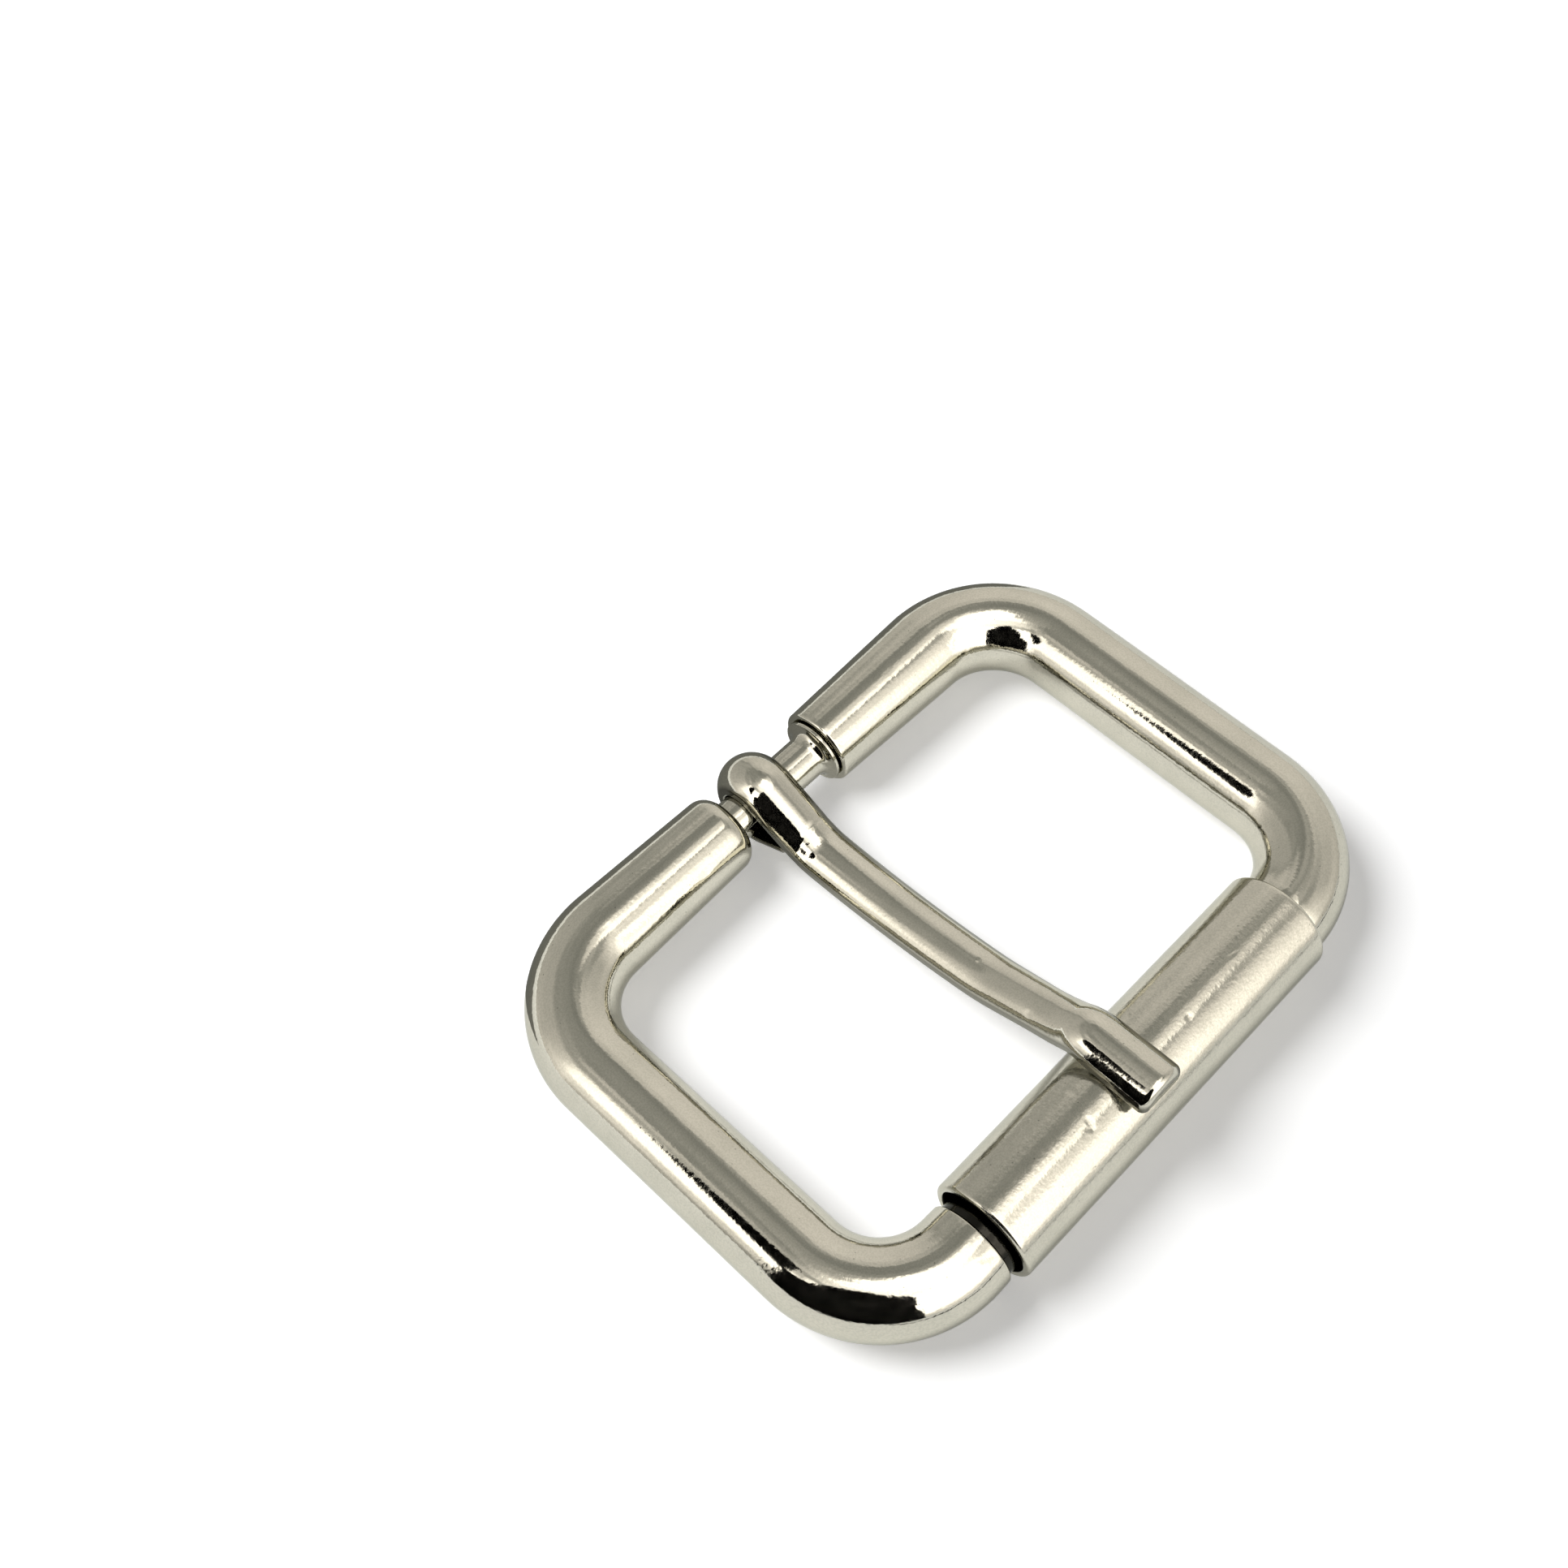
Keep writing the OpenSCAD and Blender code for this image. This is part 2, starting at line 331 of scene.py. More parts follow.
def rounded_end(edge: float, radius: float, rounding: float, inwards: float) -> list[tuple[float, float]]:
    """Profile of a rounded rim, from its face to its side.

    Args:
        edge: distance of the face along the axis.
        radius: radius of the side.
        rounding: radius of the rim's rounding.
        inwards: 1 where the metal lies further along the axis, or -1.

    Returns:
        Pairs of distance and radius.
    """
    rim = []
    for number in range(RIM_STEPS + 1):
        angle = math.pi / 2 * number / RIM_STEPS
        away = rounding * (1 - math.cos(angle))
        rim.append((edge + inwards * away, radius - rounding * (1 - math.sin(angle))))
    return rim


@dataclass(frozen=True)
class Profile:
    """Radius of a round piece along its axis, as pairs of distance and radius."""

    points: tuple[tuple[float, float], ...]

    def filled(self, step: float) -> list[tuple[float, float]]:
        """Adds points so that none is further than a step from the next.

        Args:
            step: largest distance between two points.

        Returns:
            Pairs of distance and radius.
        """
        filled = [self.points[0]]
        for (x0, r0), (x1, r1) in zip(self.points, self.points[1:]):
            parts = max(1, math.ceil(math.hypot(x1 - x0, r1 - r0) / step))
            for number in range(1, parts + 1):
                share = number / parts
                filled.append((x0 + (x1 - x0) * share, r0 + (r1 - r0) * share))
        return filled


class NodeSheet:
    """Adds and joins the nodes of one material or of the world."""

    def __init__(self, tree: bpy.types.NodeTree) -> None:
        """Takes the tree that the nodes go into."""
        self.nodes = tree.nodes
        self.links = tree.links

    def join(self, source: bpy.types.NodeSocket, target: bpy.types.NodeSocket) -> None:
        """Links two sockets."""
        self.links.new(source, target)

    def feed(self, value: object, target: bpy.types.NodeSocket) -> None:
        """Sets a socket to a number or links another socket to it.

        Args:
            value: a number, a colour or a socket.
            target: the socket that it goes into.
        """
        if isinstance(value, bpy.types.NodeSocket):
            self.join(value, target)
        else:
            target.default_value = value

    def cloud(self, coords: bpy.types.NodeSocket, scale: float, detail: float) -> bpy.types.NodeSocket:
        """Noise from 0 to 1 over the given coordinates.

        Args:
            coords: coordinates that the noise follows.
            scale: cells for each millimetre.
            detail: how many finer noises are added.

        Returns:
            The noise.
        """
        node = self.nodes.new("ShaderNodeTexNoise")
        node.inputs["Scale"].default_value = scale
        node.inputs["Detail"].default_value = detail
        self.join(coords, node.inputs["Vector"])
        return node.outputs["Fac"]

    def spots(self, coords: bpy.types.NodeSocket, scale: float) -> bpy.types.NodeSocket:
        """Distance to the nearest of many scattered points.

        Args:
            coords: coordinates that the points lie in.
            scale: points for each millimetre.

        Returns:
            The distance.
        """
        node = self.nodes.new("ShaderNodeTexVoronoi")
        node.inputs["Scale"].default_value = scale
        self.join(coords, node.inputs["Vector"])
        return node.outputs["Distance"]

    def sums(self, kind: str, *values: object) -> bpy.types.NodeSocket:
        """Joins two or three values by a sum of the given kind.

        Args:
            kind: the Math node's name of the sum.
            values: numbers or sockets, in the order of the sum.

        Returns:
            The result.
        """
        node = self.nodes.new("ShaderNodeMath")
        node.operation = kind
        for value, socket in zip(values, node.inputs):
            self.feed(value, socket)
        return node.outputs[0]

    def part(self, coords: bpy.types.NodeSocket, axis: str) -> bpy.types.NodeSocket:
        """One of the X, Y and Z parts of some coordinates.

        Args:
            coords: the coordinates.
            axis: X, Y or Z.

        Returns:
            The part.
        """
        node = self.nodes.new("ShaderNodeSeparateXYZ")
        self.join(coords, node.inputs["Vector"])
        return node.outputs[axis]

    def ranged(self, value: bpy.types.NodeSocket, low: float, high: float, to_low: float = 0.0,
               to_high: float = 1.0, smooth: bool = False) -> bpy.types.NodeSocket:
        """Maps a value from one range to another, and keeps it there.

        Args:
            value: the value to map.
            low: start of the range that it comes from.
            high: end of the range that it comes from.
            to_low: what the start turns into.
            to_high: what the end turns into.
            smooth: whether the two ends are eased.

        Returns:
            The mapped value.
        """
        node = self.nodes.new("ShaderNodeMapRange")
        node.clamp = True
        if smooth:
            node.interpolation_type = "SMOOTHSTEP"
        self.join(value, node.inputs["Value"])
        limits = {"From Min": low, "From Max": high, "To Min": to_low, "To Max": to_high}
        for socket, number in limits.items():
            node.inputs[socket].default_value = number
        return node.outputs["Result"]

    def blend(self, share: object, first: object, second: object) -> bpy.types.NodeSocket:
        """Mixes two colours by a share.

        Args:
            share: how much of the second colour there is, from 0 to 1.
            first: the colour at 0.
            second: the colour at 1.

        Returns:
            The mixed colour.
        """
        node = self.nodes.new("ShaderNodeMix")
        node.data_type = "RGBA"
        self.feed(share, node.inputs[0])
        self.feed(first, node.inputs[MIX_FIRST])
        self.feed(second, node.inputs[MIX_SECOND])
        return node.outputs[MIX_RESULT]


class MetalSheet(NodeSheet):
    """The nodes of one metal, with its shader and its output."""

    def __init__(self, name: str) -> None:
        """Starts an empty material with a metal shader.

        Args:
            name: name of the material.
        """
        self.material = bpy.data.materials.new(name)
        self.material.use_nodes = True
        super().__init__(self.material.node_tree)
        self.nodes.clear()
        self.shader = self.nodes.new("ShaderNodeBsdfPrincipled")
        self.shader.inputs["Metallic"].default_value = 1.0
        output = self.nodes.new("ShaderNodeOutputMaterial")
        self.join(self.shader.outputs["BSDF"], output.inputs["Surface"])

    def grain(self, scale: Sequence[float]) -> bpy.types.NodeSocket:
        """Grain coordinates in millimetres, stretched by a scale.

        Args:
            scale: how much each of the three coordinates is stretched.

        Returns:
            The coordinates.
        """
        source = self.nodes.new("ShaderNodeAttribute")
        source.attribute_name = "grain"
        stretch = self.nodes.new("ShaderNodeVectorMath")
        stretch.operation = "MULTIPLY"
        stretch.inputs[1].default_value = scale
        self.join(source.outputs["Vector"], stretch.inputs[0])
        return stretch.outputs[0]

    def radius(self) -> bpy.types.NodeSocket:
        """Distance from the middle of the bar or tube, in millimetres.

        Returns:
            The distance.
        """
        node = self.nodes.new("ShaderNodeVectorMath")
        node.operation = "LENGTH"
        self.join(self.grain((0, 1, 1)), node.inputs[0])
        return node.outputs["Value"]

    def raise_by(self, heights: Sequence[tuple[bpy.types.NodeSocket, float]]) -> None:
        """Bumps the metal by the sum of some noises, each times its height in millimetres.

        Args:
            heights: pairs of a noise and its height.
        """
        total: object = 0.0
        for noise_out, height in heights:
            total = self.sums("ADD", total, self.sums("MULTIPLY", noise_out, height * MM))
        bump = self.nodes.new("ShaderNodeBump")
        bump.inputs["Distance"].default_value = 1.0
        self.feed(total, bump.inputs["Height"])
        self.join(bump.outputs["Normal"], self.shader.inputs["Normal"])


@dataclass(frozen=True)
class NickelPlate:
    """Bright nickel plate, with the ripple, drawn lines and specks that the real one shows.

    Heights of the bumps are in millimetres, and scales in cells for each millimetre.
    """

    name: str
    tint: tuple[float, float, float, float] = (0.56, 0.54, 0.455, 1.0)
    shade: tuple[float, float, float, float] = (0.46, 0.45, 0.375, 1.0)
    speck: tuple[float, float, float, float] = (0.28, 0.28, 0.23, 1.0)
    # Colour of the painted shade, laid on where a piece's share of painted shade says
    painted_shade_colour: tuple[float, float, float, float] = (0.1, 0.095, 0.08, 1.0)
    grazing: tuple[float, float, float, float] = (0.7, 0.71, 0.69, 1.0)
    roughness: float = 0.04
    roughness_spread: float = 0.05
    # Roughness where the shade is painted
    painted_shade_roughness: float = 0.1
    ripple_mm: float = 0.006
    ripple_scale: float = 0.9
    lines_mm: float = 0.0016
    lines_scale: float = 3.5
    lines_stretch: float = 0.12
    peel_mm: float = 0.005
    peel_scale: float = 3.6
    cloud_scale: float = 0.35
    cloud_levels: tuple[float, float] = (0.35, 0.7)
    mottle: float = 0.6
    mottle_scale: float = 8.0
    mottle_levels: tuple[float, float] = (0.4, 0.62)
    speck_scale: float = 1.1
    speck_edge: tuple[float, float] = (0.03, 0.07)
    wear_scale: float = 1.6
    wear_levels: tuple[float, float] = (0.3, 0.75)

    def painted_shade_share(self, sheet: MetalSheet) -> bpy.types.NodeSocket | float:
        """Share of painted shade, laid on in a dark colour; none on a plain piece."""
        return 0.0

    def material(self) -> bpy.types.Material:
        """Makes the material.

        Returns:
            The plate's material.
        """
        sheet = MetalSheet(self.name)
        even = sheet.grain((1, 1, 1))
        drawn = sheet.grain((self.lines_stretch, 1, 1))
        sheet.raise_by((
            (sheet.cloud(even, self.ripple_scale, 2), self.ripple_mm),
            (sheet.cloud(drawn, self.lines_scale, 3), self.lines_mm),
            (sheet.cloud(even, self.peel_scale, 3), self.peel_mm),
        ))
        broad = sheet.ranged(sheet.cloud(even, self.cloud_scale, 3), *self.cloud_levels, 0, 1 - self.mottle)
        fine = sheet.ranged(sheet.cloud(even, self.mottle_scale, 4), *self.mottle_levels, 0, self.mottle)
        toned = sheet.blend(sheet.sums("ADD", broad, fine), self.tint, self.shade)
        specked = sheet.ranged(sheet.spots(even, self.speck_scale), *self.speck_edge, 1, 0)
        plated = sheet.blend(specked, toned, self.speck)
        rough = sheet.ranged(sheet.cloud(even, self.wear_scale, 4), *self.wear_levels, self.roughness,
                             self.roughness + self.roughness_spread)
        # Painted shade: the plated colour turns to the dark colour by the piece's share of painted shade,
        # with its own roughness there
        painted_shade_share = self.painted_shade_share(sheet)
        dulled = sheet.sums("MULTIPLY_ADD", painted_shade_share, self.painted_shade_roughness, rough)
        sheet.join(sheet.blend(painted_shade_share, plated, self.painted_shade_colour), sheet.shader.inputs["Base Color"])
        sheet.join(dulled, sheet.shader.inputs["Roughness"])
        sheet.shader.inputs["Specular Tint"].default_value = self.grazing
        return sheet.material


@dataclass(frozen=True)
class PinPlate(NickelPlate):
    """The pin's plate, with deeper drawn lines."""

    lines_mm: float = 0.004


@dataclass(frozen=True)
class BarPlate(NickelPlate):
    """The bar's plate, with painted shade: the neck inside the roller is painted near black between two
    distances along the bar.
    """

    # Painted shade and reflection on the neck: near black, and glossy so that glints still show on it
    painted_shade_colour: tuple[float, float, float, float] = (0.025, 0.024, 0.02, 1.0)
    painted_shade_roughness: float = 0.02
    neck: tuple[float, float] = (0.0, 0.0)
    edge: float = 0.04

    def painted_shade_share(self, sheet: MetalSheet) -> bpy.types.NodeSocket | float:
        """Share of painted shade: all of it on the neck.

        Args:
            sheet: the metal's nodes.

        Returns:
            The share, from 0 to 1.
        """
        along = sheet.part(sheet.grain((1, 1, 1)), "X")
        start, end = self.neck
        past = sheet.ranged(along, start - self.edge, start + self.edge)
        short = sheet.ranged(along, end - self.edge, end + self.edge, 1, 0)
        return sheet.sums("MULTIPLY", past, short)


@dataclass(frozen=True)
class RollerPlate(NickelPlate):
    """The roller's plate, duller and more pitted than the rest, with painted shade: the bore is painted dark.
    """

    bore_r: float = 0.0
    edge: float = 0.04
    roughness: float = 0.1
    roughness_spread: float = 0.09
    lines_mm: float = 0.003
    peel_mm: float = 0.009

    # Painted shade: the bore inside the tube takes the dark colour
    def painted_shade_share(self, sheet: MetalSheet) -> bpy.types.NodeSocket | float:
        """Share of painted shade: all of it in the bore."""
        inner = self.bore_r + self.edge / 2
        return sheet.ranged(sheet.radius(), inner, inner + self.edge, 1, 0)


@dataclass(frozen=True)
class TonguePlate(NickelPlate):
    """The tongue's plate, with painted shade: dark and dull low on the strip's two flanks, further up on the
    right one.
    """

    # Painted shade along the strip's edges: the flanks' dark colour
    painted_shade_colour: tuple[float, float, float, float] = (0.19, 0.185, 0.155, 1.0)
    flank_top: float = 0.95
    flank_rise: float = 0.5
    flank_fade: float = 0.3
    flank_x: float = 1.35
    flank_edge: float = 0.1

    def painted_shade_share(self, sheet: MetalSheet) -> bpy.types.NodeSocket | float:
        """Share of painted shade: all of it low on the two flanks.

        Args:
            sheet: the metal's nodes.

        Returns:
            The share, from 0 to 1.
        """
        even = sheet.grain((1, 1, 1))
        across = sheet.part(even, "Y")
        aside = sheet.sums("ABSOLUTE", across)
        outer = sheet.ranged(aside, self.flank_x, self.flank_x + self.flank_edge)
        rise = sheet.ranged(across, -self.flank_x, self.flank_x, 0, self.flank_rise)
        height = sheet.sums("SUBTRACT", sheet.part(even, "Z"), rise)
        low = sheet.ranged(height, self.flank_top - self.flank_fade, self.flank_top, 1, 0)
        return sheet.sums("MULTIPLY", outer, low)


@dataclass
class BentBar:
    """The frame: a round bar bent to a rectangle, necked inside the roller and open at the hinge."""

    sizes: BuckleSizes
    hinge_corner_r: float = 7.15
    roller_corner_r: float = 6.95
    left_shoulder_w: float = 1.2
    right_shoulder_w: float = 0.4
    dome_r: float = 1.3
    rim_r: float = 0.25
    shoulder_round: float = 0.2
    mouth_round: float = 0.06
    mouth_ease: float = 0.3
    wave_depth: float = 0.012
    wave_scale: float = 0.16
    ring_points: int = 112
    step: float = 0.35
    dents: tuple[Dent, ...] = (
        Dent((-8.6, 13.9, 2.0), (1, 0.1, 0), 0.35, 0.12, 0.04),
        Dent((11.6, 15.6, 3.2), (1, 0.3, 0), 0.3, 0.12, 0.03),
        Dent((-20.6, -17.2, 2.4), (1, -0.6, 0), 0.25, 0.2, 0.03),
    )

    @property
    def course(self) -> Course:
        """Centre line of the bar, from its right end round the roller's side to its left end.

        Returns:
            The path, in the buckle's own plane.
        """
        sizes = self.sizes
        hinge_x = sizes.side_x - self.hinge_corner_r
        roller_x = sizes.side_x - self.roller_corner_r
        side_len = sizes.bar_span - self.hinge_corner_r - self.roller_corner_r
        return Course((sizes.gap_right, sizes.hinge_y), 0, (
            Run(hinge_x - sizes.gap_right, self.hinge_corner_r, -90),
            Run(side_len, self.roller_corner_r, -90),
            Run(2 * roller_x, self.roller_corner_r, -90),
            Run(side_len, self.hinge_corner_r, -90),
            Run(hinge_x + sizes.gap_left),
        ))

    @property
    def neck(self) -> tuple[float, float]:
        """Distances along the bar at which the neck inside the roller starts and ends.

        Returns:
            The start and the end.
        """
        course = self.course
        front = course.marks()[1]
        return front + self.right_shoulder_w, front + course.runs[2].straight - self.left_shoulder_w

    def socket(self, edge: float, end_r: float, rounding: float,
               inwards: float) -> list[tuple[float, float]]:
        """Profile of one end of the bar, from the bottom of the pin's socket to the bar's side.

        Args:
            edge: distance of the end's face along the bar.
            end_r: radius of the bar at that end.
            rounding: radius of the rounding round the face.
            inwards: 1 where the metal lies further along the bar, or -1.

        Returns:
            Pairs of distance and radius.
        """
        sizes = self.sizes
        bore = sizes.pin_r + sizes.seat_gap
        lip = self.mouth_round
        eased = self.mouth_ease * lip
        return [
            (edge + inwards * sizes.socket_depth, bore),
            (edge + inwards * lip, bore),
            (edge + inwards * eased, bore + eased),
            (edge, bore + lip),
        ] + rounded_end(edge, end_r, rounding, inwards)

    def profile(self) -> Profile:
        """Radius of the bar along its centre line.

        Returns:
            The profile over the bar's length.
        """
        sizes = self.sizes
        course = self.course
        marks = course.marks()
        first = course.runs[0].straight
        last = marks[3]
        front = marks[1]
        neck_start, neck_end = self.neck
        shoulder_r = min(sizes.bar_r, sizes.bore_r) - sizes.seat_gap
        points = self.socket(0, sizes.bar_end_r, self.rim_r, 1)
        points += [(first, sizes.bar_r), (front, sizes.bar_r)]
        points += rounded_end(neck_start, shoulder_r, self.shoulder_round, -1)[::-1]
        points += [(neck_start, sizes.neck_r), (neck_end, sizes.neck_r)]
        points += rounded_end(neck_end, shoulder_r, self.shoulder_round, 1)
        points += [(front + course.runs[2].straight, sizes.bar_r), (last, sizes.bar_r)]
        points += self.socket(course.length, sizes.bar_end_r, self.dome_r, -1)[::-1]
        return Profile(tuple(points))

    def build(self) -> bpy.types.Object:
        """Builds the bar.

        Returns:
            The bar's object.
        """
        course = self.course
        skin = Skin()
        for distance, radius in self.profile().filled(self.step):
            centre, heading = course.at(distance)
            outward = Vector((-math.sin(heading), math.cos(heading), 0))
            circle = circle_of(radius, self.ring_points)
            ring = [centre.to_3d() + across * outward + up * UP for across, up in circle]
            skin.add(ring, [Vector((distance, across, up)) for across, up in circle])
        skin.sink(self.dents, lambda grain: waviness(grain, self.wave_depth, self.wave_scale))
        piece = skin.build("bent_bar", self.sizes.lying())
        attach(piece, Body.FRAME.value)
        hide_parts("frame")
        return piece

    def dress(self, piece: bpy.types.Object) -> None:
        """Plates the bar, with painted shade on its neck."""
        piece.data.materials.append(BarPlate("bar_nickel", neck=self.neck).material())


def turned_skin(profile: Sequence[tuple[float, float]], centre: Vector, count: int, looped: bool) -> Skin:
    """Turns a profile about an axis along X.

    Args:
        profile: pairs of place along X and radius.
        centre: point on the axis; its x is not used.
        count: points round each ring.
        looped: whether the last ring joins the first.

    Returns:
        The skin.
    """
    skin = Skin(looped)
    for x, radius in profile:
        circle = circle_of(radius, count)
        ring = [Vector((x, centre.y + across, centre.z + up)) for across, up in circle]
        skin.add(ring, [Vector((x, across, up)) for across, up in circle])
    return skin


@dataclass
class HingePin:
    """The thin pin in the gap, with a flared collar at its right end."""

    sizes: BuckleSizes
    collar_r: float = 2.5
    collar_w: float = 0.25
    collar_gap: float = 0.15
    flare_r: float = 0.8
    collar_round: float = 0.05
    chamfer: float = 0.2
    cap_r: float = 0.4
    flare_steps: int = 12
    ring_points: int = 96
    step: float = 0.3

    def profile(self) -> Profile:
        """Radius of the pin along X.

        Returns:
            The profile from the pin's left end to its right end.
        """
        sizes = self.sizes
        inset = sizes.socket_depth - sizes.seat_gap
        left = sizes.gap_left - inset
        right = sizes.gap_right + inset
        far = sizes.gap_right - self.collar_gap
        near = far - self.collar_w
        hollow = min(self.flare_r, self.collar_r - sizes.pin_r)
        cut_r = sizes.pin_r - self.chamfer
        points = [(left, self.cap_r), (left, cut_r), (left + self.chamfer, sizes.pin_r)]
        for number in range(self.flare_steps + 1):
            angle = math.pi / 2 * number / self.flare_steps
            points.append((
                near - hollow + hollow * math.sin(angle),
                sizes.pin_r + hollow * (1 - math.cos(angle)),
            ))
        points += rounded_end(near, self.collar_r, self.collar_round, 1)
        points += rounded_end(far, self.collar_r, self.collar_round, -1)[::-1]
        points += [(far, sizes.pin_r), (right - self.chamfer, sizes.pin_r)]
        points += [(right, cut_r), (right, self.cap_r)]
        return Profile(tuple(points))

    def build(self) -> bpy.types.Object:
        """Builds the pin.

        Returns:
            The pin's object.
        """
        centre = Vector((0, self.sizes.hinge_y, 0))
        skin = turned_skin(self.profile().filled(self.step), centre, self.ring_points, False)
        piece = skin.build("turned_pin", self.sizes.lying(), sharp=35)
        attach(piece, Body.FRAME.value)
        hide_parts("hinge_pin")
        return piece

    def dress(self, piece: bpy.types.Object) -> None:
        """Plates the pin."""
        piece.data.materials.append(PinPlate("pin_nickel").material())


@dataclass
class LooseRoller:
    """The plain tube that turns on the neck of the bar."""

    sizes: BuckleSizes
    rim_r: float = 0.3
    mouth_round: float = 0.08
    wave_depth: float = 0.01
    wave_scale: float = 0.2
    ring_points: int = 216
    step: float = 0.2
    bore_step: float = 0.8
    dents: tuple[Dent, ...] = (
        Dent((-5.45, -17.0, 4.16), (-0.3, -0.95, 0), 0.5, 0.09, 0.05),
        Dent((-5.75, -17.45, 4.05), (0.8, -0.6, 0), 0.3, 0.09, 0.04),
        Dent((-4.68, -14.9, 4.0), (0.1, -1, 0), 0.35, 0.07, 0.03),
        Dent((4.36, -17.1, 4.15), (1, 0, 0), 0.16, 0.14, 0.05),
        Dent((1.9, -14.2, 3.7), (1, 0.4, 0), 0.3, 0.1, 0.025),
        Dent((9.6, -16.4, 4.2), (1, -0.2, 0), 0.5, 0.08, 0.02),
    )

    def profile(self) -> Profile:
        """Section of the tube's wall, from the left mouth over the outside and back through the bore.

        Returns:
            The profile, open along the bore.
        """
        sizes = self.sizes
        left, right = sizes.roller_left, sizes.roller_right
        lip = self.mouth_round
        points = [(left + lip, sizes.bore_r), (left, sizes.bore_r + lip)]
        points += rounded_end(left, sizes.roller_r, self.rim_r, 1)
        points += rounded_end(right, sizes.roller_r, self.rim_r, -1)[::-1]
        points += [(right, sizes.bore_r + lip), (right - lip, sizes.bore_r)]
        return Profile(tuple(points))

    def build(self) -> bpy.types.Object:
        """Builds the roller.

        Returns:
            The roller's object.
        """
        sizes = self.sizes
        centre = Vector((0, -sizes.hinge_y, sizes.roller_lift))
        wall = self.profile()
        bore = Profile((wall.points[-1], wall.points[0])).filled(self.bore_step)
        skin = turned_skin(wall.filled(self.step) + bore[1:-1], centre, self.ring_points, True)
        skin.sink(self.dents, lambda grain: waviness(grain, self.wave_depth, self.wave_scale))
        piece = skin.build("rolled_tube", sizes.lying())
        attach(piece, Body.ROLLER.value)
        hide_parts("roller")
        return piece

    def dress(self, piece: bpy.types.Object) -> None:
        """Plates the roller, with painted shade in its bore."""
        piece.data.materials.append(RollerPlate("roller_nickel", bore_r=self.sizes.bore_r).material())


def evenly_spaced(line: Sequence[Vector], count: int) -> list[Vector]:
    """Places points evenly along a closed line.

    Args:
        line: corners of the line, the last the same as the first.
        count: how many points to place.

    Returns:
        The points.
    """
    lengths = [(b - a).length for a, b in zip(line, line[1:])]
    step = sum(lengths) / count
    points = []
    side = 0
    passed = 0.0
    for number in range(count):
        goal = number * step
        while side < len(lengths) - 1 and passed + lengths[side] < goal:
            passed += lengths[side]
            side += 1
        share = (goal - passed) / lengths[side] if lengths[side] else 0.0
        points.append(line[side].lerp(line[side + 1], min(1.0, share)))
    return points


@dataclass(frozen=True)
class StripRow:
    """One run of the tongue's strip and the share of the eye's width and thickness at its end."""

    run: Run
    width: float
    thickness: float


